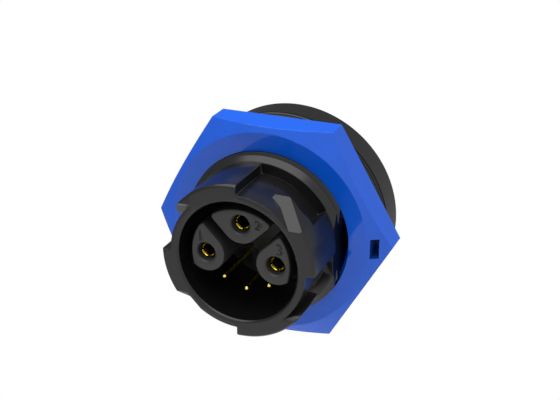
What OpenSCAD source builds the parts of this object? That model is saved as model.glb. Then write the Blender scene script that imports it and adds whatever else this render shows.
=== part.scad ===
// Round panel receptacle with a quarter-turn shroud, three power sockets and three
// signal pins. Each piece is drawn along +Z, which points to the mating face, with
// the panel seat at z = 0. The whole part is then laid down so that the mating face
// looks along -Y and the middle power socket is on top.

/* [Barrel] */
// Outside diameter of the thread
thread_d = 25; // [24:0.1:27]
// Length from the panel seat to the front shoulder
barrel_len = 8.9; // [8:0.1:12]
// Size of the bevel that leads into the thread
thread_lead = 0.85; // [0.4:0.05:1]
// Depth of the flat that keys the barrel in its panel hole
key_depth = 1.45; // [0.5:0.05:1.6]

/* [Flange] */
// Thickness of the flange
flange_t = 5.35; // [3:0.05:7]
// Rounding of the rear edge
flange_round = 0.6; // [0.2:0.1:1.2]
// Bevel of the front edge
flange_bevel = 0.25; // [0.1:0.05:0.5]

/* [Shroud] */
// Length from the shoulder to the front rim
shroud_len = 8.55; // [7:0.05:12]
// How far the lobes lie below the thread, so that the nut passes over them
lobe_drop = 1; // [0.9:0.05:1.3]
// Depth of the channels between the lobes
channel_depth = 1.4; // [0.8:0.05:1.8]
// Wall between the channels and the cavity
shroud_wall = 1.2; // [0.8:0.05:1.6]
// Depth of the cavity behind the front rim
cavity_depth = 13.1; // [10:0.1:14]
// Bevel of the rim's inner and outer edges
rim_bevel = 0.3; // [0.1:0.05:0.5]

/* [Bayonet] */
// Angle at which a lobe starts
lobe_start = 0.5; // [0:0.5:10]
// Angle of the wall that ends the locking slot
slot_end = 32; // [24:1:40]
// Angle at which the locking teeth of the two side lobes end
tooth_end = 67; // [60:1:72]
// Thickness of the locking tooth behind the front rim
tooth_len = 3.65; // [2.5:0.05:5]
// Slope of the teeth's lead-in, from the axis
lead_angle = 42.5; // [38:0.5:46]
// Height of the lead-in's front edge on the two side lobes, from the axis
side_lead = 6.3; // [5.5:0.1:7]
// Height of the lead-in's front edge on the top and bottom lobes, from the axis
end_lead = 7.4; // [7:0.1:8]
// Depth of the flats beside the side lobes' lead-in, on the teeth and in the channels
lead_flat = 0.2; // [0.1:0.05:0.3]

/* [Panel nut] */
// Width across the flats, and the flange's diameter with it
nut_af = 32; // [30:0.5:38]
// Thickness
nut_t = 5.55; // [4:0.05:8]
// How far the front face's circle lies inside the flats
nut_face_inset = 0.75; // [0.3:0.05:1.2]
// Slope of the corner bevel, from the front face
nut_bevel_angle = 30; // [20:1:35]
// Bevel where the thread starts on the rear face
nut_lead = 0.5; // [0.2:0.1:1]
// Turn of the nut about the axis
nut_turn = 1; // [-30:1:30]
// Running clearance between the nut and the thread
nut_clearance = 0.05; // [0.02:0.01:0.1]
// Width of the seal slot, along the radius
seal_slot_w = 1.15; // [0.8:0.05:1.4]
// Length of the seal slot
seal_slot_l = 3; // [2:0.1:4]
// Distance from the nut's corner to the middle of the seal slot
seal_slot_inset = 2.28; // [2.1:0.02:2.6]

/* [Gasket] */
// Thickness
gasket_t = 1.2; // [0.8:0.1:2]
// How far the gasket lies inside the flange's edge
gasket_inset = 0.3; // [0.1:0.05:1]
// Clearance round the thread
gasket_clearance = 0.1; // [0.05:0.05:0.3]

/* [Contact insert] */
// Distance of the tower faces behind the front rim
tower_recess = 1.25; // [0.5:0.05:2]
// Gap between the towers and the cavity wall
tower_gap = 1.45; // [1.2:0.05:1.8]
// Rounding of the towers' tips
tower_tip_r = 0.55; // [0.3:0.05:0.7]
// Distance of the towers' flanks from the diagonals
tower_web = 0.85; // [0.6:0.05:1.1]
// How far the power sockets lie inside the towers' circle
power_inset = 2.2; // [2:0.05:2.5]
// Diameter of a power hole
power_hole_d = 2.7; // [2.6:0.05:3]
// Diameter of the power hole's countersink
power_sink_d = 3.3; // [3.1:0.05:3.6]
// Length of the insert's front boss, inside the cavity
boss_len = 2; // [1:0.1:3]
// Length of the insert's collar, behind the ledge
collar_len = 6.5; // [5:0.1:8]
// Width of the ledge in the shell that stops the collar
ledge_w = 0.9; // [0.6:0.05:1.1]
// Clearance between the insert and the shell
insert_clearance = 0.05; // [0.02:0.01:0.1]

/* [Insert seal] */
// Diameter of the seal's cord
cord_d = 1.1; // [0.8:0.05:1.4]
// Clearance round the cord in its groove
cord_clearance = 0.03; // [0.02:0.01:0.08]

/* [Rear retainer] */
// Thickness
retainer_t = 2; // [1.5:0.1:3]
// Height of the snap bead on its edge
bead_h = 0.25; // [0.15:0.05:0.4]
// Distance of the retainer from the rear end of the shell
rear_lip = 0.8; // [0.4:0.1:2]
// Wall of the shell behind the flange
skirt_wall = 1.7; // [1.2:0.1:2.5]

/* [Contacts] */
// Outside diameter of a power socket
socket_d = 2.5; // [2.3:0.05:2.55]
// Bore of a power socket
socket_bore_d = 1.6; // [1.4:0.05:1.7]
// Depth of that bore
socket_bore_len = 8; // [6:0.5:10]
// Width of the two slots that split a power socket
socket_slot_w = 0.25; // [0.15:0.05:0.3]
// Length of those slots
socket_slot_len = 5.5; // [4:0.5:7]
// Distance of a power socket behind its tower's face
socket_recess = 1.15; // [0.5:0.05:1.5]
// How much the taper of a power socket's nose takes off its radius
socket_nose = 0.25; // [0.1:0.05:0.3]
// Diameter of a power socket's board tail
power_tail_d = 1.5; // [1:0.1:1.8]
// Diameter of a signal pin
pin_d = 0.75; // [0.6:0.05:1]
// How far the signal pins lie inside the towers' circle
pin_inset = 1.8; // [1.4:0.05:2]
// Angle between neighbouring signal pins
pin_spread = 38; // [32:1:42]
// Distance of the pin tips behind the front rim
pin_recess = 3.3; // [2:0.1:5]
// Thickness of the contacts' shoulders
shoulder_t = 0.9; // [0.6:0.1:1.4]
// How far a shoulder stands out from its contact
shoulder_h = 0.5; // [0.3:0.05:0.6]
// How much thicker a contact is, at the radius, inside the insert and the retainer
shank_h = 0.2; // [0.1:0.05:0.3]
// How far that thicker part stands out of the insert's floor and the retainer
shank_out = 0.1; // [0.05:0.05:0.3]
// Clearance round the contacts
contact_clearance = 0.04; // [0.02:0.01:0.08]
// Length of the board tails behind the shell
tail_len = 3.5; // [2.5:0.1:6]

/* [Hidden] */

$fn = 96;
// Overlap that carries a cut or a join past a face
over = 1;

// Radii, from the flange inwards
flange_r = nut_af / 2;
thread_r = thread_d / 2;
lobe_r = thread_r - lobe_drop;
channel_r = lobe_r - channel_depth;
cavity_r = channel_r - shroud_wall;
tower_r = cavity_r - tower_gap;
insert_bore_r = cavity_r + ledge_w;
collar_r = insert_bore_r - insert_clearance;
skirt_r = insert_bore_r + skirt_wall;
bead_r = insert_bore_r + bead_h;
power_r = tower_r - power_inset;
pin_r = tower_r - pin_inset;
pin_shank_r = pin_d / 2 + shank_h;
tail_shank_r = power_tail_d / 2 + shank_h;
groove_r = insert_bore_r - cord_d - 2 * cord_clearance;

// Places along the axis, from the front rim to the tail ends
front_z = barrel_len + shroud_len;
tower_z = front_z - tower_recess;
socket_z = tower_z - socket_recess;
pin_z = front_z - pin_recess;
floor_z = front_z - cavity_depth;
ledge_z = floor_z - boss_len;
insert_back_z = ledge_z - collar_len;
retainer_back_z = insert_back_z - retainer_t;
rear_z = min(retainer_back_z - rear_lip, -flange_t);
shank_z = retainer_back_z - shank_out;
tail_z = rear_z - tail_len;
groove_z = ledge_z - collar_len / 2;
bead_z = insert_back_z - retainer_t / 2;

// The four lobes of the bayonet. The teeth of the top and bottom lobes run out where
// their lead-in meets the tooth's rear face
lobe_pitch = 90;
end_tooth_angle = 90 - asin((end_lead - tooth_len * tan(lead_angle)) / lobe_r) + over;

// The power sockets sit left, on top and right, and the diagonals run between their towers
power_angles = [180, 90, 0];
diagonal = 45;
pin_angles = [-90 - pin_spread, -90, -90 + pin_spread];

// Middle of a tower's rounded tip, beside a diagonal that runs along +X
tip_offset = tower_web + tower_tip_r;
tip_middle = [sqrt(pow(tower_r - tower_tip_r, 2) - pow(tip_offset, 2)), -tip_offset];

nut_corner_r = nut_af / 2 / cos(30);
nut_face_r = nut_af / 2 - nut_face_inset;
nut_z = gasket_t;

plastic_black = [0.07, 0.07, 0.075];
plastic_blue = [0.07, 0.33, 0.82];
rubber_black = [0.13, 0.13, 0.13];
contact_gold = [0.88, 0.68, 0.22];

// Lays a piece drawn along +Z down along -Y, with its +Y side up
module lay() {
    rotate([90, 0, 0])
        children();
}

// Puts a child at an angle on a circle about the axis
module on_circle(radius, angle) {
    rotate([0, 0, angle])
        translate([radius, 0, 0])
            children();
}

// Solid of revolution between two heights
module disc(radius, from_z, to_z) {
    translate([0, 0, from_z])
        cylinder(r = radius, h = to_z - from_z);
}

// Part of a ring, between two radii, two heights and two angles
module ring_sector(inner_r, outer_r, from_z, to_z, from_angle, to_angle) {
    rotate([0, 0, from_angle])
        rotate_extrude(angle = to_angle - from_angle)
            translate([inner_r, from_z])
                square([outer_r - inner_r, to_z - from_z]);
}

// One lobe: the block that stops the plug's turn, and the locking tooth with the slope
// that leads into its slot. All slopes run along X, so that the moulding's side slides
// can draw out that way.
module lobe(start, tooth_end_angle, lead_y) {
    root_r = channel_r - over;
    difference() {
        union() {
            ring_sector(root_r, thread_r, 0, front_z + over, start + lobe_start, start + slot_end);
            ring_sector(root_r, thread_r, front_z - tooth_len, front_z + over, start + lobe_start,
                start + tooth_end_angle);
        }
        translate([0, lead_y, front_z])
            rotate([lead_angle, 0, 0])
                translate([0, 0, -shroud_len])
                    cube([thread_d, 2 * shroud_len, 2 * shroud_len]);
    }
}

// Envelope of the lobes, with a bevelled front rim
module shroud_blank() {
    rotate_extrude()
        polygon([
            [0, barrel_len],
            [lobe_r, barrel_len],
            [lobe_r, front_z - rim_bevel],
            [lobe_r - rim_bevel, front_z],
            [0, front_z]
        ]);
}

// Space beyond a flat that faces the diagonal, from the teeth's rear to the front
module beyond_flat(distance) {
    rotate([0, 0, diagonal])
        translate([distance, -thread_r, front_z - tooth_len])
            cube([thread_r, thread_d, tooth_len + over]);
}

// Wall of the cavity with the four lobes on it
module shroud() {
    difference() {
        disc(channel_r, barrel_len - over, front_z);
        for (turn = [0, 180])
            rotate([0, 0, turn])
                beyond_flat(channel_r - lead_flat);
    }
    intersection() {
        shroud_blank();
        for (turn = [0, 180])
            rotate([0, 0, turn]) {
                difference() {
                    lobe(0, tooth_end, side_lead);
                    beyond_flat(lobe_r - lead_flat);
                }
                lobe(-lobe_pitch, end_tooth_angle, -end_lead);
            }
    }
}

// Threaded barrel at the thread's outside diameter, with its lead-in and key flat
module barrel() {
    difference() {
        rotate_extrude()
            polygon([
                [0, -over],
                [thread_r, -over],
                [thread_r, barrel_len - thread_lead],
                [thread_r - thread_lead, barrel_len],
                [0, barrel_len]
            ]);
        translate([thread_r - key_depth, -thread_r, 0])
            cube([key_depth + over, thread_d, barrel_len + over]);
    }
}

module flange() {
    rotate_extrude() {
        polygon([
            [0, -flange_t],
            [flange_r - flange_round, -flange_t],
            [flange_r - flange_round, flange_round - flange_t],
            [flange_r, flange_round - flange_t],
            [flange_r, -flange_bevel],
            [flange_r - flange_bevel, 0],
            [0, 0]
        ]);
        intersection() {
            translate([flange_r - flange_round, flange_round - flange_t])
                circle(flange_round);
            translate([flange_r - flange_round, -flange_t])
                square(flange_round);
        }
    }
}

// Cavity, ledge, insert bore and snap groove
module shell_bore() {
    disc(cavity_r, ledge_z - over, front_z + over);
    translate([0, 0, front_z - rim_bevel])
        cylinder(r1 = cavity_r, r2 = cavity_r + rim_bevel + over, h = rim_bevel + over);
    disc(insert_bore_r, rear_z - over, ledge_z);
    snap_ring(bead_r, bead_h);
}

// Ring with sloped sides for the snap bead and its groove
module snap_ring(outer_r, height) {
    rotate_extrude()
        polygon([
            [outer_r - height - over, bead_z - 2 * height],
            [outer_r - height, bead_z - 2 * height],
            [outer_r, bead_z - height],
            [outer_r, bead_z + height],
            [outer_r - height, bead_z + 2 * height],
            [outer_r - height - over, bead_z + 2 * height]
        ]);
}

module shell() {
    color(plastic_black)
        lay()
            difference() {
                union() {
                    shroud();
                    barrel();
                    flange();
                    disc(skirt_r, rear_z, -over);
                }
                shell_bore();
            }
}

module panel_nut() {
    drop = (nut_corner_r - nut_face_r) * tan(nut_bevel_angle);
    bore_r = thread_r + nut_clearance;
    color(plastic_blue)
        lay()
            rotate([0, 0, nut_turn])
                translate([0, 0, nut_z])
                    difference() {
                        intersection() {
                            cylinder(r = nut_corner_r, h = nut_t, $fn = 6);
                            rotate_extrude()
                                polygon([
                                    [0, 0],
                                    [nut_corner_r, 0],
                                    [nut_corner_r, nut_t - drop],
                                    [nut_face_r, nut_t],
                                    [0, nut_t]
                                ]);
                        }
                        disc(bore_r, -over, nut_t + over);
                        translate([0, 0, -over])
                            cylinder(r1 = bore_r + nut_lead + over, r2 = bore_r, h = nut_lead + over);
                        translate([nut_corner_r - seal_slot_inset, 0, nut_t / 2])
                            cube([seal_slot_w, seal_slot_l, nut_t + 2 * over], center = true);
                    }
}

module panel_gasket() {
    color(rubber_black)
        lay()
            difference() {
                disc(flange_r - gasket_inset, 0, gasket_t);
                disc(thread_r + gasket_clearance, -over, gasket_t + over);
            }
}

// Turns what is drawn beside a diagonal along +X to one side of the tower at an angle: 1 is
// the diagonal that comes before it, counted anticlockwise, and -1 the one after it
module beside_diagonal(angle, side) {
    rotate(angle)
        mirror([0, side < 0 ? 0 : 1])
            rotate(diagonal)
                children();
}

// Stretch between a tower's round body and its tip, drawn past the towers' circle
module tower_flank() {
    middle = power_r * [cos(diagonal), -sin(diagonal)];
    polygon([
        middle,
        [middle.x, -tower_web],
        [tip_middle.x, -tower_web],
        tip_middle,
        tip_middle * 2,
        middle * 2
    ]);
}

// Outline of a tower whose flanks follow the diagonals on the sides given
module tower_outline(angle, sides) {
    intersection() {
        rotate(angle + 180)
            circle(tower_r);
        union() {
            rotate(angle)
                translate([power_r, 0])
                    circle(power_r * sin(diagonal) - tower_web);
            for (side = sides)
                beside_diagonal(angle, side)
                    tower_flank();
        }
    }
    for (side = sides)
        beside_diagonal(angle, side)
            translate(tip_middle)
                circle(tower_tip_r);
}

module towers() {
    translate([0, 0, floor_z - over])
        linear_extrude(tower_z - floor_z + over) {
            tower_outline(power_angles[0], [1]);
            tower_outline(power_angles[1], [1, -1]);
            tower_outline(power_angles[2], [-1]);
        }
}

// Boss in the cavity, and collar with the seal's groove
module insert_body() {
    disc(cavity_r - insert_clearance, ledge_z - over, floor_z);
    difference() {
        disc(collar_r, insert_back_z, ledge_z);
        rotate_extrude()
            translate([groove_r, groove_z - cord_d / 2 - cord_clearance])
                square([collar_r, cord_d + 2 * cord_clearance]);
    }
}

// Passage of a power socket, with its countersink and the seat of its shoulder
module power_passage() {
    sink_h = (power_sink_d - power_hole_d) / 2;
    disc(power_hole_d / 2, insert_back_z - over, tower_z + over);
    translate([0, 0, tower_z - sink_h])
        cylinder(d1 = power_hole_d, d2 = power_sink_d + 2 * over, h = sink_h + over);
    disc(socket_d / 2 + shoulder_h + contact_clearance, insert_back_z - over, insert_back_z + shoulder_t);
}

module pin_passage() {
    disc(pin_shank_r + contact_clearance, insert_back_z - over, floor_z + over);
    disc(pin_shank_r + shoulder_h + contact_clearance, insert_back_z - over, insert_back_z + shoulder_t);
}

module contact_insert() {
    color(plastic_black)
        lay()
            difference() {
                union() {
                    insert_body();
                    towers();
                }
                for (angle = power_angles)
                    on_circle(power_r, angle)
                        power_passage();
                for (angle = pin_angles)
                    on_circle(pin_r, angle)
                        pin_passage();
            }
}

module insert_seal() {
    color(rubber_black)
        lay()
            translate([0, 0, groove_z])
                rotate_extrude()
                    translate([insert_bore_r - cord_clearance - cord_d / 2, 0])
                        circle(d = cord_d);
}

module rear_retainer() {
    color(plastic_black)
        lay()
            difference() {
                union() {
                    disc(collar_r, retainer_back_z, insert_back_z);
                    snap_ring(bead_r - insert_clearance, bead_h);
                }
                for (angle = power_angles)
                    on_circle(power_r, angle)
                        disc(tail_shank_r + contact_clearance, retainer_back_z - over, insert_back_z + over);
                for (angle = pin_angles)
                    on_circle(pin_r, angle)
                        disc(pin_shank_r + contact_clearance, retainer_back_z - over, insert_back_z + over);
            }
}

// Split socket with a tapered nose, a shoulder and a board tail
module power_socket(angle) {
    nose_r = socket_d / 2 - socket_nose;
    mouth_bevel = (nose_r - socket_bore_d / 2) / 2;
    color(contact_gold)
        lay()
            on_circle(power_r, angle)
                difference() {
                    union() {
                        rotate_extrude()
                            polygon([
                                [0, insert_back_z],
                                [socket_d / 2, insert_back_z],
                                [socket_d / 2, socket_z - 2 * socket_nose],
                                [nose_r, socket_z],
                                [0, socket_z]
                            ]);
                        disc(socket_d / 2 + shoulder_h, insert_back_z, insert_back_z + shoulder_t);
                        disc(tail_shank_r, shank_z, insert_back_z + over);
                        disc(power_tail_d / 2, tail_z, insert_back_z + over);
                    }
                    disc(socket_bore_d / 2, socket_z - socket_bore_len, socket_z + over);
                    translate([0, 0, socket_z - mouth_bevel])
                        cylinder(d1 = socket_bore_d, d2 = socket_bore_d + 2 * (mouth_bevel + over),
                            h = mouth_bevel + over);
                    for (turn = [0, 90])
                        rotate([0, 0, turn])
                            translate([-socket_d, -socket_slot_w / 2, socket_z - socket_slot_len])
                                cube([2 * socket_d, socket_slot_w, socket_slot_len + over]);
                }
}

module power_socket_1() { power_socket(power_angles[0]); }
module power_socket_2() { power_socket(power_angles[1]); }
module power_socket_3() { power_socket(power_angles[2]); }

// Round-nosed pin with a shoulder and a board tail
module signal_pin(angle) {
    nose_z = pin_z - pin_d / 2;
    color(contact_gold)
        lay()
            on_circle(pin_r, angle) {
                disc(pin_d / 2, tail_z, nose_z);
                translate([0, 0, nose_z])
                    sphere(d = pin_d);
                disc(pin_shank_r, shank_z, floor_z + shank_out);
                disc(pin_shank_r + shoulder_h, insert_back_z, insert_back_z + shoulder_t);
            }
}

module signal_pin_1() { signal_pin(pin_angles[0]); }
module signal_pin_2() { signal_pin(pin_angles[1]); }
module signal_pin_3() { signal_pin(pin_angles[2]); }

shell();
panel_nut();
panel_gasket();
contact_insert();
insert_seal();
rear_retainer();
power_socket_1();
power_socket_2();
power_socket_3();
signal_pin_1();
signal_pin_2();
signal_pin_3();
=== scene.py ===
# %% [markdown]
# # Dressing a round panel receptacle
# The part is a panel receptacle: a black moulded shell with a bayonet shroud, a blue hexagon
# nut, a rubber gasket, and gold sockets and pins in a black insert. The CAD frame already
# holds every piece at its real size, so this lesson only adds what a drawing leaves out:
# softened edges, screw threads, engraved numerals, finishes, light and a camera.

# %% Load the frame
import math

import bmesh
import bpy
from mathutils import Matrix, Vector


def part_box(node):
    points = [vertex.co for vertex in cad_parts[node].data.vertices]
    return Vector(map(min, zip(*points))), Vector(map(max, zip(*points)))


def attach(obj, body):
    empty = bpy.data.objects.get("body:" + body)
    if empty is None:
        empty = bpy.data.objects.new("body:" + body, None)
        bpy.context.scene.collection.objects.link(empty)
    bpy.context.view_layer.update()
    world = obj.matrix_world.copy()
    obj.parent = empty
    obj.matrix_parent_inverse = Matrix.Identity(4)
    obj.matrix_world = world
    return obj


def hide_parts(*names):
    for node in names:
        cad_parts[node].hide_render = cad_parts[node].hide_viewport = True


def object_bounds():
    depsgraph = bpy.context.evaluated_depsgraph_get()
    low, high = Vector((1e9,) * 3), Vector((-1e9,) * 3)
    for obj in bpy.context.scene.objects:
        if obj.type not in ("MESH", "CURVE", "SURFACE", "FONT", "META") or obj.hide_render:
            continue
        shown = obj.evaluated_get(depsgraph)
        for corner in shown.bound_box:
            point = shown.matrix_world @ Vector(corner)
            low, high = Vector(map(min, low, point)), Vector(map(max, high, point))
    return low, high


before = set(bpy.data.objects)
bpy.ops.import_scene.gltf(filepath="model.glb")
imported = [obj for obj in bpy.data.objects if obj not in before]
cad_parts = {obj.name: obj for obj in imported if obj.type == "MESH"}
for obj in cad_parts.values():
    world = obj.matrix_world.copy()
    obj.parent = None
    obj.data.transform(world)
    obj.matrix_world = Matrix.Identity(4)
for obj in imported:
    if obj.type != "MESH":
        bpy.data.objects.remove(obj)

MM = 0.001
cad_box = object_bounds()
print("CAD box in mm:", [[round(value / MM, 2) for value in corner] for corner in cad_box])

# %% [markdown]
# ## The camera
# The picture looks down on the mating face from its right. A camera can be placed by eye,
# but here it is worked out: the aim lies beside the middle of the front rim, the camera
# stands back from it along two angles, and the lens follows from how many pixels one
# metre would cover there. No lens shift is needed that way, so other views stay centred.

# %% Camera
IMAGE_WIDTH = 560
SENSOR_WIDTH = 36
AZIMUTH = math.radians(22.35)
ELEVATION = math.radians(24.05)
ROLL = math.radians(0.85)
CAMERA_DISTANCE = 145 * MM
CLIP_START = 10 * MM
PIXELS_PER_METRE = 7308
AIM_RIGHT = 6.03 * MM
AIM_UP = 8.66 * MM

rim_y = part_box("shell")[0].y
to_camera = Vector((
    math.sin(AZIMUTH) * math.cos(ELEVATION),
    -math.cos(AZIMUTH) * math.cos(ELEVATION),
    math.sin(ELEVATION),
))
level_right = Vector((math.cos(AZIMUTH), math.sin(AZIMUTH), 0))
level_up = to_camera.cross(level_right)
image_right = level_right * math.cos(ROLL) + level_up * math.sin(ROLL)
image_up = level_up * math.cos(ROLL) - level_right * math.sin(ROLL)
aim = Vector((0, rim_y, 0)) + AIM_RIGHT * image_right + AIM_UP * image_up

camera_data = bpy.data.cameras.new("portrait_camera")
camera_data.sensor_fit = "HORIZONTAL"
camera_data.sensor_width = SENSOR_WIDTH
camera_data.lens = SENSOR_WIDTH * PIXELS_PER_METRE * CAMERA_DISTANCE / IMAGE_WIDTH
camera_data.clip_start = CLIP_START
camera = bpy.data.objects.new("portrait_camera", camera_data)
bpy.context.scene.collection.objects.link(camera)
turned = Matrix((image_right, image_up, to_camera)).transposed()
camera.matrix_world = Matrix.Translation(aim + to_camera * CAMERA_DISTANCE) @ turned.to_4x4()
bpy.context.scene.camera = camera
print("Camera lens in mm:", round(camera_data.lens, 1))

# %% [markdown]
# ## Node helpers
# A finish in Blender is a network of shader nodes. Nodes can be wired by hand in the editor,
# and in a script each one takes several lines. Three small helpers keep that readable: one
# makes a link, one makes a node with its values, and one starts a group with named sockets.

# %% Node helpers
FLOAT = "NodeSocketFloat"
COLOUR = "NodeSocketColor"
VECTOR = "NodeSocketVector"


def link(tree, source, target):
    tree.links.new(source, target)


def add_node(tree, kind, **values):
    """Adds a node, sets its properties, and sets its inputs from names that have capitals."""
    node = tree.nodes.new(kind)
    for name, value in values.items():
        if name[0].isupper():
            node.inputs[name.replace("_", " ")].default_value = value
        else:
            setattr(node, name, value)
    return node


def new_group(name, inputs, outputs):
    """Starts a node group with named sockets and returns it with its two end nodes."""
    group = bpy.data.node_groups.new(name, "ShaderNodeTree")
    for label, (kind, default) in inputs.items():
        made = group.interface.new_socket(label, in_out="INPUT", socket_type=kind)
        made.default_value = default
    for label, kind in outputs.items():
        group.interface.new_socket(label, in_out="OUTPUT", socket_type=kind)
    return group, group.nodes.new("NodeGroupInput"), group.nodes.new("NodeGroupOutput")


print("Node helpers are ready")

# %% [markdown]
# ## Moulded skin
# The black shell, the blue nut and the insert come out of polished moulds. Up close such
# nylon isn't one flat colour: its tone drifts a little, its gloss is patchy, and the skin has
# a faint orange peel. Each of these could be drawn in every material again, but a node group
# is built once and placed with its own values, so the pieces stay alike.

# %% Moulded skin group
TONE_SCALE = 220
GLOSS_SCALE = 900
PEEL_SCALE = 3200
PEEL_HEIGHT = 0.01 * MM
TONE_DRIFT = 0.12
# A Mix node has sockets for every kind of value. These are the places of a colour's.
MIX_FACTOR, MIX_A, MIX_B, MIX_RESULT = 0, 6, 7, 2


def make_moulded_skin():
    group, given, result = new_group(
        "moulded_skin",
        {
            "Tone": (COLOUR, (0.02, 0.02, 0.02, 1)),
            "Gloss from": (FLOAT, 0.06),
            "Gloss to": (FLOAT, 0.12),
            "Peel": (FLOAT, 0.05),
        },
        {"Color": COLOUR, "Roughness": FLOAT, "Normal": VECTOR},
    )
    place = add_node(group, "ShaderNodeTexCoord")
    drift = add_node(group, "ShaderNodeTexNoise", Scale=TONE_SCALE, Detail=3)
    darker = add_node(group, "ShaderNodeHueSaturation", Value=1 - TONE_DRIFT)
    lighter = add_node(group, "ShaderNodeHueSaturation", Value=1 + TONE_DRIFT)
    tone = add_node(group, "ShaderNodeMix", data_type="RGBA")
    patch = add_node(group, "ShaderNodeTexNoise", Scale=GLOSS_SCALE, Detail=4)
    gloss = add_node(group, "ShaderNodeMapRange", From_Min=0.3, From_Max=0.7)
    peel = add_node(group, "ShaderNodeTexNoise", Scale=PEEL_SCALE, Detail=2)
    bump = add_node(group, "ShaderNodeBump", Distance=PEEL_HEIGHT)
    for noise in (drift, patch, peel):
        link(group, place.outputs["Object"], noise.inputs["Vector"])
    for shade, side in ((darker, MIX_A), (lighter, MIX_B)):
        link(group, given.outputs["Tone"], shade.inputs["Color"])
        link(group, shade.outputs["Color"], tone.inputs[side])
    link(group, drift.outputs["Fac"], tone.inputs[MIX_FACTOR])
    link(group, tone.outputs[MIX_RESULT], result.inputs["Color"])
    link(group, patch.outputs["Fac"], gloss.inputs["Value"])
    link(group, given.outputs["Gloss from"], gloss.inputs["To Min"])
    link(group, given.outputs["Gloss to"], gloss.inputs["To Max"])
    link(group, gloss.outputs["Result"], result.inputs["Roughness"])
    link(group, peel.outputs["Fac"], bump.inputs["Height"])
    link(group, given.outputs["Peel"], bump.inputs["Strength"])
    link(group, bump.outputs["Normal"], result.inputs["Normal"])
    return group


moulded_skin = make_moulded_skin()
print("Group:", moulded_skin.name, "with", len(moulded_skin.nodes), "nodes")

# %% [markdown]
# ## Dust
# Handling leaves fine dust on a part, which dulls the gloss in small specks. Real specks could
# be scattered as tiny pieces, but at this size they only change how the surface shines. So a
# second group takes the cells of a Voronoi texture, keeps a share of them by their colour, and
# raises the roughness near the middle of each.

# %% Dust group
SPECK_SCALE = 2200
SPECK_EDGE = 0.16


def make_dust():
    group, given, result = new_group(
        "fine_dust",
        {"Roughness": (FLOAT, 0.1), "Dull": (FLOAT, 0.5), "Share": (FLOAT, 0.08)},
        {"Roughness": FLOAT},
    )
    place = add_node(group, "ShaderNodeTexCoord")
    specks = add_node(group, "ShaderNodeTexVoronoi", Scale=SPECK_SCALE)
    near = add_node(group, "ShaderNodeMath", operation="LESS_THAN")
    near.inputs[1].default_value = SPECK_EDGE
    tint = add_node(group, "ShaderNodeSeparateColor")
    chosen = add_node(group, "ShaderNodeMath", operation="LESS_THAN")
    both = add_node(group, "ShaderNodeMath", operation="MULTIPLY")
    mixed = add_node(group, "ShaderNodeMix", data_type="FLOAT")
    link(group, place.outputs["Object"], specks.inputs["Vector"])
    link(group, specks.outputs["Distance"], near.inputs[0])
    link(group, specks.outputs["Color"], tint.inputs["Color"])
    link(group, tint.outputs["Red"], chosen.inputs[0])
    link(group, given.outputs["Share"], chosen.inputs[1])
    link(group, near.outputs["Value"], both.inputs[0])
    link(group, chosen.outputs["Value"], both.inputs[1])
    link(group, both.outputs["Value"], mixed.inputs["Factor"])
    link(group, given.outputs["Roughness"], mixed.inputs["A"])
    link(group, given.outputs["Dull"], mixed.inputs["B"])
    link(group, mixed.outputs["Result"], result.inputs["Roughness"])
    return group


fine_dust = make_dust()
print("Group:", fine_dust.name, "with", len(fine_dust.nodes), "nodes")

# %% [markdown]
# ## Plastics
# Nylon reflects a few hundredths of what stands in front of it, so black nylon needs only a
# very dark base colour and low roughness to look deep. The insert is moulded with a satin
# skin, and the nut is polished, in a strong blue. Two matt finishes serve small places, and
# both are painted shade: the walls of the nut's slot take a darker blue for the shade in the
# slot, and a black band round the flange paints the shadow of the gap behind the gasket. One
# function makes all five from the two groups, so that they differ only in their values.

# %% Plastics
PLASTIC_DULL = 0.5


def new_material(name):
    material = bpy.data.materials.new(name)
    material.use_nodes = True
    return material, material.node_tree, material.node_tree.nodes["Principled BSDF"]


def place_skin(tree, shader, tone, gloss, peel, dull, dust):
    """Feeds a shader's colour and roughness from both groups, and returns the skin's node."""
    skin = add_node(tree, "ShaderNodeGroup", node_tree=moulded_skin)
    skin.inputs["Tone"].default_value = (*tone, 1)
    skin.inputs["Gloss from"].default_value = gloss[0]
    skin.inputs["Gloss to"].default_value = gloss[1]
    skin.inputs["Peel"].default_value = peel
    specks = add_node(tree, "ShaderNodeGroup", node_tree=fine_dust)
    specks.inputs["Dull"].default_value = dull
    specks.inputs["Share"].default_value = dust
    link(tree, skin.outputs["Color"], shader.inputs["Base Color"])
    link(tree, skin.outputs["Roughness"], specks.inputs["Roughness"])
    link(tree, specks.outputs["Roughness"], shader.inputs["Roughness"])
    return skin


def moulded_plastic(name, tone, gloss, peel, dust, specular):
    material, tree, shader = new_material(name)
    shader.inputs["Specular IOR Level"].default_value = specular
    skin = place_skin(tree, shader, tone, gloss, peel, PLASTIC_DULL, dust)
    link(tree, skin.outputs["Normal"], shader.inputs["Normal"])
    print("Plastic:", name)
    return material


black_nylon = moulded_plastic(
    "black_nylon", tone=(0.006, 0.006, 0.0065), gloss=(0.2, 0.26), peel=0.04, dust=0.05,
    specular=0.4,
)
insert_nylon = moulded_plastic(
    "insert_nylon", tone=(0.034, 0.034, 0.0345), gloss=(0.4, 0.5), peel=0.1, dust=0.04,
    specular=0.36,
)
blue_nylon = moulded_plastic(
    "blue_nylon", tone=(0.004, 0.105, 0.7), gloss=(0.03, 0.06), peel=0.03, dust=0.04,
    specular=0.38,
)
# A matt, darker blue for the slot's walls; the darker tone is painted shade for the narrow
# slot.
slot_matt_painted_shade = moulded_plastic(
    "slot_matt_painted_shade", tone=(0.003, 0.05, 0.3), gloss=(0.6, 0.7), peel=0.1, dust=0.04, specular=0.1,
)
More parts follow.
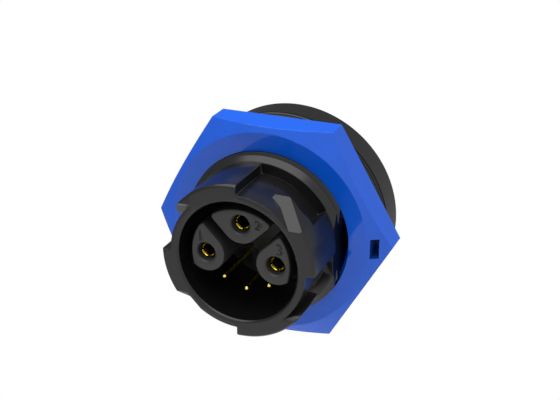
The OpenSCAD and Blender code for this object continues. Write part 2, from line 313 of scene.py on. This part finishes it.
# Matt black finish for a band round the flange: a painted shadow of the narrow gap behind the
# gasket.
painted_gap_shadow = moulded_plastic(
    "painted_gap_shadow", tone=(0.003, 0.003, 0.003), gloss=(0.7, 0.8), peel=0.1, dust=0.04,
    specular=0.08,
)

# %% [markdown]
# ## Rubber
# Rubber is the opposite of polished nylon: rough all over, so it only shows soft light, and
# dust clings to it. It could be a plastic with other values, but its skin also has a fine
# grain, so a second bump lies over the orange peel.

# %% Rubber
RUBBER_TONE = (0.014, 0.0135, 0.012)
RUBBER_GLOSS = (0.5, 0.62)
RUBBER_PEEL = 0.3
RUBBER_DULL = 0.9
RUBBER_DUST = 0.2
RUBBER_SPECULAR = 0.3
GRAIN_SCALE = 5200
GRAIN_HEIGHT = 0.02 * MM


def make_rubber():
    material, tree, shader = new_material("black_rubber")
    shader.inputs["Specular IOR Level"].default_value = RUBBER_SPECULAR
    skin = place_skin(
        tree, shader, RUBBER_TONE, RUBBER_GLOSS, RUBBER_PEEL, RUBBER_DULL, RUBBER_DUST,
    )
    place = add_node(tree, "ShaderNodeTexCoord")
    grain = add_node(tree, "ShaderNodeTexNoise", Scale=GRAIN_SCALE, Detail=3)
    bump = add_node(tree, "ShaderNodeBump", Strength=0.4, Distance=GRAIN_HEIGHT)
    link(tree, place.outputs["Object"], grain.inputs["Vector"])
    link(tree, grain.outputs["Fac"], bump.inputs["Height"])
    link(tree, skin.outputs["Normal"], bump.inputs["Normal"])
    link(tree, bump.outputs["Normal"], shader.inputs["Normal"])
    return material


black_rubber = make_rubber()
print("Rubber:", black_rubber.name)

# %% [markdown]
# ## Gold plating
# The contacts are turned from brass and plated with gold. A plain yellow metal would look cast,
# so its colour drifts between a deep and a pale gold, and a wave texture along the axis gives
# the fine rings that the lathe leaves. The sockets sit in dark holes, and their darker gold is
# painted shade for those holes.

# %% Gold plating
WAVE_PERIOD = 0.314
RING_PITCH = 0.12 * MM
RING_HEIGHT = 0.004 * MM
RING_WANDER = 1.5
GOLD_DRIFT_SCALE = 700
GOLD_GLOSS = (0.08, 0.16)


def plated_gold(name, deep, pale):
    material, tree, shader = new_material(name)
    shader.inputs["Metallic"].default_value = 1
    place = add_node(tree, "ShaderNodeTexCoord")
    rings = add_node(
        tree, "ShaderNodeTexWave", bands_direction="Y", Scale=WAVE_PERIOD / RING_PITCH,
        Distortion=RING_WANDER,
    )
    drift = add_node(tree, "ShaderNodeTexNoise", Scale=GOLD_DRIFT_SCALE, Detail=3)
    colour = add_node(tree, "ShaderNodeValToRGB")
    colour.color_ramp.elements[0].color = (*deep, 1)
    colour.color_ramp.elements[1].color = (*pale, 1)
    gloss = add_node(tree, "ShaderNodeMapRange", To_Min=GOLD_GLOSS[0], To_Max=GOLD_GLOSS[1])
    bump = add_node(tree, "ShaderNodeBump", Strength=0.05, Distance=RING_HEIGHT)
    link(tree, place.outputs["Object"], rings.inputs["Vector"])
    link(tree, place.outputs["Object"], drift.inputs["Vector"])
    link(tree, drift.outputs["Fac"], colour.inputs["Fac"])
    link(tree, drift.outputs["Fac"], gloss.inputs["Value"])
    link(tree, colour.outputs["Color"], shader.inputs["Base Color"])
    link(tree, gloss.outputs["Result"], shader.inputs["Roughness"])
    link(tree, rings.outputs["Fac"], bump.inputs["Height"])
    link(tree, bump.outputs["Normal"], shader.inputs["Normal"])
    return material


pin_gold = plated_gold("pin_gold", deep=(0.92, 0.7, 0.09), pale=(1.0, 0.86, 0.16))
# The sockets' darker gold is painted shade for the dark holes they sit in.
socket_gold_painted_shade = plated_gold("socket_gold_painted_shade", deep=(0.58, 0.44, 0.02), pale=(0.64, 0.53, 0.03))
print("Metals:", pin_gold.name, socket_gold_painted_shade.name)

# %% [markdown]
# ## Tools that shape a mesh
# A CAD node arrives as loose triangles. A copy of it becomes a working mesh when its doubles
# are merged, and its edges can then be softened by bmesh's bevel. A lathe turns a section
# into a ring, and the same spin with a small step along the axis makes a screw thread.

# %% Copying and softening
WELD = 0.002 * MM


def merged_copy(node):
    """A CAD node's mesh as one welded bmesh."""
    bm = bmesh.new()
    bm.from_mesh(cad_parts[node].data)
    bmesh.ops.remove_doubles(bm, verts=bm.verts, dist=WELD)
    bmesh.ops.dissolve_degenerate(bm, edges=bm.edges, dist=WELD)
    return bm


def sharp_edges(bm, degrees, keep=lambda middle: True):
    """The edges whose faces meet at more than an angle, where their middle is wanted."""
    limit = math.radians(degrees)
    return [
        edge
        for edge in bm.edges
        if len(edge.link_faces) == 2
        and edge.calc_face_angle() > limit
        and keep((edge.verts[0].co + edge.verts[1].co) / 2)
    ]


def soften(bm, edges, width, segments):
    bmesh.ops.bevel(
        bm, geom=edges, offset=width, offset_type="OFFSET", segments=segments, profile=0.5,
        affect="EDGES", clamp_overlap=False, material=-1,
    )
    print("Softened", len(edges), "edges by", round(width / MM, 3), "mm")


print("Copies are welded within", round(WELD / MM, 4), "mm")

# %% Turning and threading
TURN_STEPS = 144
AXIS = Vector((0, -1, 0))


def section(bm, points):
    """A flat face through points given as (radius, distance along the axis to the front)."""
    verts = [bm.verts.new((radius, -along, 0)) for radius, along in points]
    return bm.faces.new(verts)


def lathe(points, steps=TURN_STEPS, solid=False):
    """A ring turned from a section, or a solid from one whose ends lie on the axis."""
    bm = bmesh.new()
    face = section(bm, points)
    edges = [
        edge for edge in face.edges if not solid or any(vert.co.x > 0 for vert in edge.verts)
    ]
    bm.faces.remove(face)
    bmesh.ops.spin(
        bm, geom=edges, cent=(0, 0, 0), axis=AXIS, angle=math.tau, steps=steps, use_merge=True,
    )
    bmesh.ops.remove_doubles(bm, verts=bm.verts, dist=WELD)
    bmesh.ops.recalc_face_normals(bm, faces=bm.faces)
    return bm


def screw(points, pitch, turns, steps=TURN_STEPS):
    """A right-handed thread of that section."""
    bm = bmesh.new()
    face = section(bm, points)
    bmesh.ops.spin(
        bm, geom=[face, *face.edges, *face.verts], cent=(0, 0, 0), axis=AXIS,
        dvec=AXIS * (pitch / steps), angle=math.tau * turns, steps=round(turns * steps),
    )
    bmesh.ops.recalc_face_normals(bm, faces=bm.faces)
    return bm


print("The lathe turns in", TURN_STEPS, "steps")

# %% [markdown]
# ## Tools that finish a piece
# Threads and numerals are cut by booleans. Blender's exact solver is the slow one, and it was
# chosen because it leaves closed meshes as long as faces cross instead of only touching. A
# finished piece is shaded smooth up to an angle, gets its finish, rides on its body and hides
# the CAD node that it stands for.

# %% Joining and cutting
BOOLEAN_WELD = WELD / 4


def loose_object(name, bm):
    mesh = bpy.data.meshes.new(name)
    bm.to_mesh(mesh)
    bm.free()
    made = bpy.data.objects.new(name, mesh)
    bpy.context.scene.collection.objects.link(made)
    return made


def combine(bm, tool, operation):
    """Joins a tool to a bmesh, or cuts it away, and fills pinholes that welding leaves."""
    base_object = loose_object("work", bm)
    tool_object = loose_object("tool", tool)
    boolean = base_object.modifiers.new("boolean", "BOOLEAN")
    boolean.solver = "EXACT"
    boolean.operation = operation
    boolean.object = tool_object
    shown = base_object.evaluated_get(bpy.context.evaluated_depsgraph_get())
    combined = bmesh.new()
    combined.from_mesh(shown.to_mesh())
    shown.to_mesh_clear()
    for spare in (base_object, tool_object):
        mesh = spare.data
        bpy.data.objects.remove(spare)
        bpy.data.meshes.remove(mesh)
    bmesh.ops.remove_doubles(combined, verts=combined.verts, dist=BOOLEAN_WELD)
    open_edges = [edge for edge in combined.edges if edge.is_boundary]
    bmesh.ops.holes_fill(combined, edges=open_edges)
    return combined


print("Booleans are welded within", round(BOOLEAN_WELD / MM, 4), "mm")

# %% Finished pieces
SMOOTH_ANGLE = math.radians(32)
CRISP_ANGLE = math.radians(12)


def finished_piece(name, bm, material, body, node, smooth=SMOOTH_ANGLE):
    """Turns a bmesh into a piece that stands for a CAD node and moves with its body."""
    piece = loose_object(name, bm)
    piece.data.materials.append(material)
    piece.data.shade_smooth()
    piece.data.set_sharp_from_angle(angle=smooth)
    even = piece.modifiers.new("even_normals", "WEIGHTED_NORMAL")
    even.keep_sharp = True
    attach(piece, body)
    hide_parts(node)
    print(name, "has", len(piece.data.polygons), "faces")
    return piece


print("Edges stay sharp above", round(math.degrees(SMOOTH_ANGLE)), "degrees")

# %% [markdown]
# ## Shell
# The shell is one moulding: flange, threaded barrel and bayonet shroud. Its CAD solid has the
# right form, so a copy keeps it. A mould never leaves a knife edge, so the edges get a small
# round, which also catches a thin line of light. The flange's rim is left out, because the
# solid already has its rear edge round, and its front edge stays crisp beside the gasket. The
# plain barrel is then turned down, to make room for a sleeve that carries the thread.

# %% Shell
MOULD_CORNER = 25
SHELL_ROUND = 0.08 * MM
FLANGE_RIM_FROM_R = 15.2 * MM
THREAD_R = 12.5 * MM
BARREL_END = 8.9 * MM
SLEEVE_BORE_R = 11.35 * MM
SKIN = 0.05 * MM
OVERLAP = 0.2 * MM


def off_flange_rim(middle):
    return Vector((middle.x, middle.z)).length < FLANGE_RIM_FROM_R


shell = merged_copy("shell")
soften(shell, sharp_edges(shell, MOULD_CORNER, off_flange_rim), SHELL_ROUND, 2)
turned_off = lathe([
    (SLEEVE_BORE_R, SKIN),
    (THREAD_R + OVERLAP, SKIN),
    (THREAD_R + OVERLAP, BARREL_END - SKIN),
    (SLEEVE_BORE_R, BARREL_END - SKIN),
])
shell = combine(shell, turned_off, "DIFFERENCE")

# %% [markdown]
# ## Painted shadow behind the gasket
# A dark line of shade runs round the flange, just behind the gasket, in the narrow gap where
# the gasket meets the rim. It could be cut as a groove, but one so fine spoils the shading of
# the whole rim. Two bisecting planes cut the rim's faces at the line's two edges instead, and
# the band between them takes a matt black finish that paints the shadow.

# %% Painted gap shadow
FLANGE_R = 16 * MM
GAP_SHADOW_FRONT = 0.16 * MM
GAP_SHADOW_BACK = 0.64 * MM


def in_seam(point):
    on_rim = Vector((point.x, point.z)).length > FLANGE_R - SKIN
    return on_rim and GAP_SHADOW_FRONT - WELD < point.y < GAP_SHADOW_BACK + WELD


for edge_y in (GAP_SHADOW_FRONT, GAP_SHADOW_BACK):
    bmesh.ops.bisect_plane(
        shell, geom=[*shell.verts, *shell.edges, *shell.faces], plane_co=(0, edge_y, 0),
        plane_no=(0, 1, 0),
    )
# These rim faces take the matt black band, a painted shadow of the gap between gasket and
# flange.
gap_shadow_faces = [face for face in shell.faces if all(in_seam(vert.co) for vert in face.verts)]
for face in gap_shadow_faces:
    face.material_index = 1
print("Seam round the flange:", len(gap_shadow_faces), "faces")
receptacle_shell = finished_piece(
    "receptacle_shell", shell, black_nylon, "receptacle", "shell",
)
receptacle_shell.data.materials.append(painted_gap_shadow)

# %% [markdown]
# ## Barrel thread
# A thread could be painted on as bump, but it shows in the outline once the nut is off, so it
# is cut: a V-shaped groove is swept along a helix and taken out of a turned sleeve. Sleeve and
# groove are spun in the same steps, so their facets meet edge to edge and the cut is clean. A
# flat keys the barrel in its panel hole; one bisecting plane cuts it through the thread, and
# the groove starts and ends in that flat.

# %% Barrel thread
THREAD_PITCH = 1.5 * MM
THREAD_DEPTH = 0.85 * MM
THREAD_LEAD = 0.85 * MM
THREAD_TURNS = 5
THREAD_START = 1.175 * MM
FLANK_SLOPE = math.tan(math.radians(30))
CREST = THREAD_PITCH / 8
KEY_FLAT_X = 11.05 * MM


def groove_section(mouth_r, mouth_width, depth, along):
    """Section of a thread groove, cut inwards from its mouth, or outwards below zero depth."""
    out = math.copysign(1, depth)
    wide = mouth_width / 2 + OVERLAP * FLANK_SLOPE
    narrow = mouth_width / 2 - abs(depth) * FLANK_SLOPE
    mouth = mouth_r + out * OVERLAP
    root = mouth_r - depth
    return [
        (mouth, along - wide),
        (root, along - narrow),
        (root, along + narrow),
        (mouth, along + wide),
    ]


sleeve = lathe([
    (SLEEVE_BORE_R, SKIN),
    (THREAD_R, SKIN),
    (THREAD_R, BARREL_END - THREAD_LEAD),
    (THREAD_R - THREAD_LEAD + SKIN, BARREL_END - SKIN),
    (SLEEVE_BORE_R, BARREL_END - SKIN),
])
barrel_groove = screw(
    groove_section(THREAD_R, THREAD_PITCH - CREST, THREAD_DEPTH, THREAD_START),
    THREAD_PITCH, THREAD_TURNS,
)
sleeve = combine(sleeve, barrel_groove, "DIFFERENCE")
cut = bmesh.ops.bisect_plane(
    sleeve, geom=[*sleeve.verts, *sleeve.edges, *sleeve.faces], plane_co=(KEY_FLAT_X, 0, 0),
    plane_no=(1, 0, 0), clear_outer=True,
)
flat_edges = [item for item in cut["geom_cut"] if isinstance(item, bmesh.types.BMEdge)]
bmesh.ops.holes_fill(sleeve, edges=flat_edges)
barrel_thread = finished_piece(
    "barrel_thread", sleeve, black_nylon, "receptacle", "shell",
)

# %% [markdown]
# ## Panel nut
# The nut is moulded too, with a cone turned off its corners on the front and a slot for a
# seal by one corner. Its bore in the CAD solid is as wide as the thread. The inner thread is
# a ring joined to that bore, with a groove cut half a pitch away from the barrel's groove, so
# that the two threads lie in each other and a whole number of pitches takes the nut off. The
# ring reaches into the nut's wall, and the groove ends a hair inside the bore, so that no
# faces only touch. A low smoothing angle keeps the large faces flat in what they mirror.

# %% Nut
nut_low, nut_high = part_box("panel_nut")
NUT_BACK = -nut_high.y
NUT_FRONT = -nut_low.y
NUT_BORE_R = 12.55 * MM
NUT_ROOT_R = 12.53 * MM
NUT_CREST_R = 11.8 * MM
NUT_LEAD = 0.6 * MM
NUT_GROOVE = THREAD_PITCH * 0.75
NUT_CORNER = 20
NUT_ROUND = 0.03 * MM


def outside_bore(middle):
    return Vector((middle.x, middle.z)).length > NUT_BORE_R + NUT_LEAD


nut = merged_copy("panel_nut")
ring_back = NUT_BACK + NUT_LEAD
ring_front = NUT_FRONT - NUT_LEAD
ring_lead = NUT_BORE_R + OVERLAP - NUT_CREST_R
thread_ring = lathe([
    (NUT_BORE_R + OVERLAP, ring_back),
    (NUT_CREST_R, ring_back + ring_lead),
    (NUT_CREST_R, ring_front - ring_lead),
    (NUT_BORE_R + OVERLAP, ring_front),
])
inner_groove = screw(
    groove_section(
        NUT_CREST_R, NUT_GROOVE, NUT_CREST_R - NUT_ROOT_R, THREAD_START - THREAD_PITCH / 2,
    ),
    THREAD_PITCH, THREAD_TURNS,
)
nut = combine(nut, combine(thread_ring, inner_groove, "DIFFERENCE"), "UNION")
soften(nut, sharp_edges(nut, NUT_CORNER, outside_bore), NUT_ROUND, 2)
hexagon_nut = finished_piece(
    "hexagon_nut", nut, blue_nylon, "nut", "panel_nut", CRISP_ANGLE,
)

# %% [markdown]
# ## Walls of the nut's slot
# The slot by the corner is narrow, and its walls are duller than the polished faces. Their
# finish is also a darker blue, which is painted shade for the narrow slot. They could be a
# piece of their own, but they belong to the nut's mesh, so its faces are picked by their place
# and by looking sideways, and only those take the matt, darker finish.

# %% Slot walls
SLOT_R = 16.2 * MM
SLOT_TURN = math.radians(1)
SLOT_REACH = (0.6 * MM, 1.55 * MM)
SIDEWAYS = 0.5


def in_slot(face):
    turned_back = Matrix.Rotation(SLOT_TURN, 3, "Y") @ face.center
    across = abs(turned_back.x - SLOT_R)
    up = abs(turned_back.z)
    return across < SLOT_REACH[0] and up < SLOT_REACH[1] and abs(face.normal.y) < SIDEWAYS


hexagon_nut.data.materials.append(slot_matt_painted_shade)
shade_painted_slot_walls = [face for face in hexagon_nut.data.polygons if in_slot(face)]
for face in shade_painted_slot_walls:
    face.material_index = 1
print("Matt faces in the seal slot:", len(shade_painted_slot_walls))

# %% [markdown]
# ## Gasket
# The gasket is a flat rubber ring that the nut squeezes against the flange. Squeezed rubber
# bulges at its free edge, so the ring is turned from a section with a round outer edge, which
# reaches a little past the plain ring of the solid. A subdivided cylinder could bulge too, but
# the lathe puts the round exactly where it belongs.

# %% Gasket
gasket_low, gasket_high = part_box("panel_gasket")
GASKET_BORE_R = 12.6 * MM
GASKET_REACH = 0.25 * MM
GASKET_BULGE = 0.2 * MM
BULGE_STEPS = 8
GASKET_CORNER = 60
GASKET_ROUND = 0.06 * MM
gasket_r = gasket_high.x + GASKET_REACH
gasket_t = gasket_high.y - gasket_low.y
bulge = [
    (
        gasket_r - GASKET_BULGE * (1 - math.sin(math.pi * step / BULGE_STEPS)),
        gasket_t * step / BULGE_STEPS,
    )
    for step in range(BULGE_STEPS + 1)
]
gasket = lathe([(GASKET_BORE_R, 0), *bulge, (GASKET_BORE_R, gasket_t)])
soften(gasket, sharp_edges(gasket, GASKET_CORNER), GASKET_ROUND, 2)
flat_gasket = finished_piece(
    "flat_gasket", gasket, black_rubber, "receptacle", "panel_gasket",
)

# %% [markdown]
# ## Numerals
# The towers and the tails are numbered. A numeral could be painted on or raised as bump, but a
# sunk one has real walls that hold a shadow. A text object is turned into a mesh, scaled to its
# height in millimetres, stood upright and centred on its face. Half of the bar then lies above
# the face, so the bar is twice as deep as the cut.

# %% Numerals
FONT_HALF_DEPTH = 0.5
FONT_WELD = 1e-5


def numeral(text, height, depth, centre, facing_front):
    """A bar in the shape of a numeral, centred on a point, to cut into a face."""
    curve = bpy.data.curves.new("numeral", "FONT")
    curve.body = text
    curve.extrude = FONT_HALF_DEPTH
    made = bpy.data.objects.new("numeral", curve)
    bpy.context.scene.collection.objects.link(made)
    bm = bmesh.new()
    shown = made.evaluated_get(bpy.context.evaluated_depsgraph_get())
    bm.from_mesh(shown.to_mesh())
    shown.to_mesh_clear()
    bpy.data.objects.remove(made)
    bmesh.ops.remove_doubles(bm, verts=bm.verts, dist=FONT_WELD)
    low = Vector(min(v.co[i] for v in bm.verts) for i in range(3))
    high = Vector(max(v.co[i] for v in bm.verts) for i in range(3))
    scale = height / (high.y - low.y)
    bmesh.ops.translate(bm, verts=bm.verts, vec=-(low + high) / 2)
    bmesh.ops.scale(bm, verts=bm.verts, vec=(scale, scale, 2 * depth))
    upright = Matrix.Rotation(math.radians(90), 3, "X")
    if not facing_front:
        upright = Matrix.Rotation(math.pi, 3, "Z") @ upright
    bmesh.ops.rotate(bm, verts=bm.verts, cent=(0, 0, 0), matrix=upright)
    bmesh.ops.translate(bm, verts=bm.verts, vec=centre)
    print("Numeral", text, "is", round(height / MM, 2), "mm high")
    return bm


print("Numerals are ready")

# %% [markdown]
# ## Contact insert
# Three towers carry the power sockets. Their top edges are rounded more than the rest, so
# those edges are picked by their height and get a wider bevel of their own. Each tower has a
# numeral sunk into its face.

# %% Insert
POWER_R = 5.25 * MM
SINK_R = 1.8 * MM
INSERT_ROUND = 0.06 * MM
TOWER_CORNER = 60
TOWER_ROUND = 0.22 * MM
NUMERAL_DEPTH = 0.15 * MM
# Each tower's numeral, its height, and its place across and up from the axis
TOWER_NUMERALS = [
    ("1", 1.8 * MM, (-6.05 * MM, 2.4 * MM)),
    ("2", 1.35 * MM, (2.6 * MM, 5.65 * MM)),
    ("3", 1.7 * MM, (5.85 * MM, 2.6 * MM)),
]
power_centres = [Vector((-POWER_R, 0, 0)), Vector((0, 0, POWER_R)), Vector((POWER_R, 0, 0))]
tower_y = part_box("contact_insert")[0].y


def on_tower_rim(middle):
    """True on the towers' top edges, away from the sockets' holes."""
    if middle.y > tower_y + WELD:
        return False
    across = Vector((middle.x, 0, middle.z))
    return all((across - centre).length > SINK_R for centre in power_centres)


def off_tower_rim(middle):
    return not on_tower_rim(middle)


insert = merged_copy("contact_insert")
soften(insert, sharp_edges(insert, MOULD_CORNER, off_tower_rim), INSERT_ROUND, 1)
soften(insert, sharp_edges(insert, TOWER_CORNER, on_tower_rim), TOWER_ROUND, 3)
for text, height, (across, up) in TOWER_NUMERALS:
    bar = numeral(text, height, NUMERAL_DEPTH, Vector((across, tower_y, up)), True)
    insert = combine(insert, bar, "DIFFERENCE")

# %% [markdown]
# ## Collars of the pins
# The pins leave the insert's floor through low moulded collars, which hide the pins' thicker
# shanks. A collar could be a piece of its own, but it is moulded in one with the floor, so it
# is a turned ring that a boolean joins to the insert.

# %% Collars
FLOOR_ALONG = 4.35 * MM
# Radius and height above the floor, in millimetres
COLLAR_PROFILE = [
    (0.63, -0.05), (0.95, -0.05), (0.85, 0.18), (0.75, 0.24), (0.4, 0.24), (0.4, 0.13),
    (0.63, 0.13),
]
COLLAR_STEPS = 32
PIN_R = 5.65 * MM
PIN_ANGLES = [-128, -90, -52]
pin_centres = [
    Vector((PIN_R * math.cos(math.radians(angle)), 0, PIN_R * math.sin(math.radians(angle))))
    for angle in PIN_ANGLES
]
collar_section = [(radius * MM, FLOOR_ALONG + high * MM) for radius, high in COLLAR_PROFILE]

for centre in pin_centres:
    collar = lathe(collar_section, COLLAR_STEPS)
    bmesh.ops.translate(collar, verts=collar.verts, vec=centre)
    insert = combine(insert, collar, "UNION")
tower_insert = finished_piece(
    "tower_insert", insert, insert_nylon, "receptacle", "contact_insert",
)

# %% [markdown]
# ## Rear retainer
# The retainer snaps in behind the insert and holds the contacts' shoulders. It is moulded from
# the insert's satin nylon. Whoever solders the board looks at this side, so each tail has its
# number sunk into the face beside it, deep enough to hold a shadow.

# %% Retainer
RETAINER_ROUND = 0.08 * MM
TAIL_NUMERAL = 1.3 * MM
TAIL_NUMERAL_DEPTH = 0.3 * MM
NUMERAL_STEP = 2.1 * MM
retainer_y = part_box("rear_retainer")[1].y

retainer = merged_copy("rear_retainer")
soften(retainer, sharp_edges(retainer, MOULD_CORNER), RETAINER_ROUND, 2)
for number, tail in enumerate([*power_centres, *pin_centres], start=1):
    inward = tail * (1 - NUMERAL_STEP / tail.length)
    place = Vector((inward.x, retainer_y, inward.z))
    bar = numeral(str(number), TAIL_NUMERAL, TAIL_NUMERAL_DEPTH, place, False)
    retainer = combine(retainer, bar, "DIFFERENCE")
rear_disc = finished_piece(
    "rear_disc", retainer, insert_nylon, "receptacle", "rear_retainer",
    CRISP_ANGLE,
)

# %% [markdown]
# ## Power sockets
# A power socket is a turned tube with a shoulder and a board tail. Its nose is pinched, so that
# the four fingers between its slots lean inwards and grip a plug's pin, and its mouth is a
# funnel that leads the pin in. The tube is one profile turned about the axis, and two crossing
# bars cut the slots. Sockets are set into their holes at any turn, so each one's slots stand a
# little differently.

# %% Sockets
# Radius and distance along the axis to the front, in millimetres, from the tail to the bore
SOCKET_PROFILE = [
    (0, -10.45), (0.65, -10.45), (0.75, -10.35), (0.75, -6.25), (0.95, -6.25), (0.95, -4.15),
    (1.75, -4.15), (1.75, -3.25), (1.25, -3.25), (1.25, 14.3), (1.1, 15.1), (1.05, 15.24),
    (0.98, 15.3), (0.88, 15.2), (0.8, 15.0), (0.72, 14.6), (0.8, 12.9), (0.8, 7.05), (0, 7.05),
]
SOCKET_STEPS = 64
SOCKET_SLOT = Vector((2.8 * MM, 5.6 * MM, 0.3 * MM))
SLOT_MIDDLE = 12.8 * MM
SLOT_TURNS = {"power_socket_1": 2, "power_socket_2": 9, "power_socket_3": 5}
socket_section = [(radius * MM, along * MM) for radius, along in SOCKET_PROFILE]

for centre, (node, degrees) in zip(power_centres, SLOT_TURNS.items()):
    socket = lathe(socket_section, SOCKET_STEPS, solid=True)
    for turn in (degrees, degrees + 90):
        bar = bmesh.new()
        bmesh.ops.create_cube(bar, size=1)
        bmesh.ops.scale(bar, verts=bar.verts, vec=SOCKET_SLOT)
        bmesh.ops.translate(bar, verts=bar.verts, vec=AXIS * SLOT_MIDDLE)
        around = Matrix.Rotation(math.radians(turn), 3, AXIS)
        bmesh.ops.rotate(bar, verts=bar.verts, cent=(0, 0, 0), matrix=around)
        socket = combine(socket, bar, "DIFFERENCE")
    bmesh.ops.translate(socket, verts=socket.verts, vec=centre)
    finished_piece("split_" + node, socket, socket_gold_painted_shade, "receptacle", node)

# %% [markdown]
# ## Pins and seal
# The pins are turned parts whose CAD solids already have their round noses, and the seal ring
# lies hidden in its groove. They could be turned again here, but nothing would be gained, so
# these nodes stay as they are and only take their finish.

# %% Finish the nodes that stay
KEPT_FINISH = {"signal_pin": pin_gold, "insert_seal": black_rubber}
for name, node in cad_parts.items():
    for start, material in KEPT_FINISH.items():
        if name.startswith(start):
            node.data.materials.clear()
            node.data.materials.append(material)
            print(name, "takes", material.name)

# %% [markdown]
# ## Floor
# The part is held by its panel and hangs free in the picture, so the pale floor lies well
# below it and takes only a soft, wide shadow. A sweep of paper up the back wall would be
# usual, but this floor ends a little behind the part, so that flanks which look down and back
# mirror the dim end of the room instead of white paper.

# %% Floor
FLOOR_DROP = 150 * MM
FLOOR_HALF = 250 * MM
FLOOR_BEHIND = 60 * MM
FLOOR_TONE = 0.74
FLOOR_ROUGHNESS = 0.9

floor_bm = bmesh.new()
bmesh.ops.create_grid(floor_bm, x_segments=1, y_segments=1, size=FLOOR_HALF)
floor_z = cad_box[0].z - FLOOR_DROP
floor_place = (0, FLOOR_BEHIND - FLOOR_HALF, floor_z)
bmesh.ops.translate(floor_bm, verts=floor_bm.verts, vec=floor_place)
floor = loose_object("pale_floor", floor_bm)
floor_material, floor_tree, floor_shader = new_material("pale_paper")
floor_shader.inputs["Base Color"].default_value = (FLOOR_TONE, FLOOR_TONE, FLOOR_TONE, 1)
floor_shader.inputs["Roughness"].default_value = FLOOR_ROUGHNESS
floor.data.materials.append(floor_material)
print("Floor lies", round(-floor_z / MM, 1), "mm below the axis")

# %% [markdown]
# ## World
# The world is the room round the part. It is white where the camera sees it, and it fills the
# shadows with a weaker light. What glossy faces mirror is a third thing: brighter on the
# camera's side than behind the part, so that glossy flanks stay dark. The Light Path node
# tells these rays apart, which a single background colour could not.

# %% World
FILL_STRENGTH = 0.4
BRIGHT_SIDE = (0.582, -0.813, 0)
BRIGHT_TONE = 1.12
DIM_TONE = 0.12
WHITE = (1, 1, 1, 1)

world = bpy.data.worlds.new("studio")
world.use_nodes = True
bpy.context.scene.world = world
tree = world.node_tree
backdrop = tree.nodes["Background"]
backdrop.inputs["Color"].default_value = WHITE
backdrop.inputs["Strength"].default_value = 1
fill = add_node(tree, "ShaderNodeBackground", Color=WHITE, Strength=FILL_STRENGTH)
mirrored = add_node(tree, "ShaderNodeBackground", Strength=1)
place = add_node(tree, "ShaderNodeTexCoord")
towards = add_node(tree, "ShaderNodeVectorMath", operation="DOT_PRODUCT")
towards.inputs[1].default_value = BRIGHT_SIDE
tone = add_node(
    tree, "ShaderNodeMapRange", From_Min=-1, From_Max=1, To_Min=DIM_TONE, To_Max=BRIGHT_TONE,
)
seen = add_node(tree, "ShaderNodeLightPath")
shiny = add_node(tree, "ShaderNodeMath", operation="MAXIMUM")
glossy = add_node(tree, "ShaderNodeMixShader")
direct = add_node(tree, "ShaderNodeMixShader")
link(tree, place.outputs["Generated"], towards.inputs[0])
link(tree, towards.outputs["Value"], tone.inputs["Value"])
link(tree, tone.outputs["Result"], mirrored.inputs["Color"])
link(tree, seen.outputs["Is Glossy Ray"], shiny.inputs[0])
link(tree, seen.outputs["Is Transmission Ray"], shiny.inputs[1])
link(tree, shiny.outputs["Value"], glossy.inputs["Fac"])
link(tree, fill.outputs["Background"], glossy.inputs[1])
link(tree, mirrored.outputs["Background"], glossy.inputs[2])
link(tree, seen.outputs["Is Camera Ray"], direct.inputs["Fac"])
link(tree, glossy.outputs["Shader"], direct.inputs[1])
link(tree, backdrop.outputs["Background"], direct.inputs[2])
link(tree, direct.outputs["Shader"], tree.nodes["World Output"].inputs["Surface"])
print("World:", world.name, "with", len(tree.nodes), "nodes")

# %% [markdown]
# ## Lamp
# One broad lamp almost straight above gives the light its direction. An area lamp could do
# that, but a sun lamp with a wide angle lights the whole floor evenly and still throws the
# soft shadows of a large lamp.

# %% Lamp
LAMP_STRENGTH = 3.6
LAMP_ANGLE = math.radians(84)
LAMP_FROM = Vector((-0.08, 0, 1))

lamp_data = bpy.data.lights.new("broad_lamp", "SUN")
lamp_data.energy = LAMP_STRENGTH
lamp_data.angle = LAMP_ANGLE
lamp = bpy.data.objects.new("broad_lamp", lamp_data)
bpy.context.scene.collection.objects.link(lamp)
lamp.rotation_euler = LAMP_FROM.to_track_quat("Z", "Y").to_euler()
bpy.context.scene.view_settings.view_transform = "Standard"
print("Lamp stands towards", [round(value, 2) for value in LAMP_FROM])
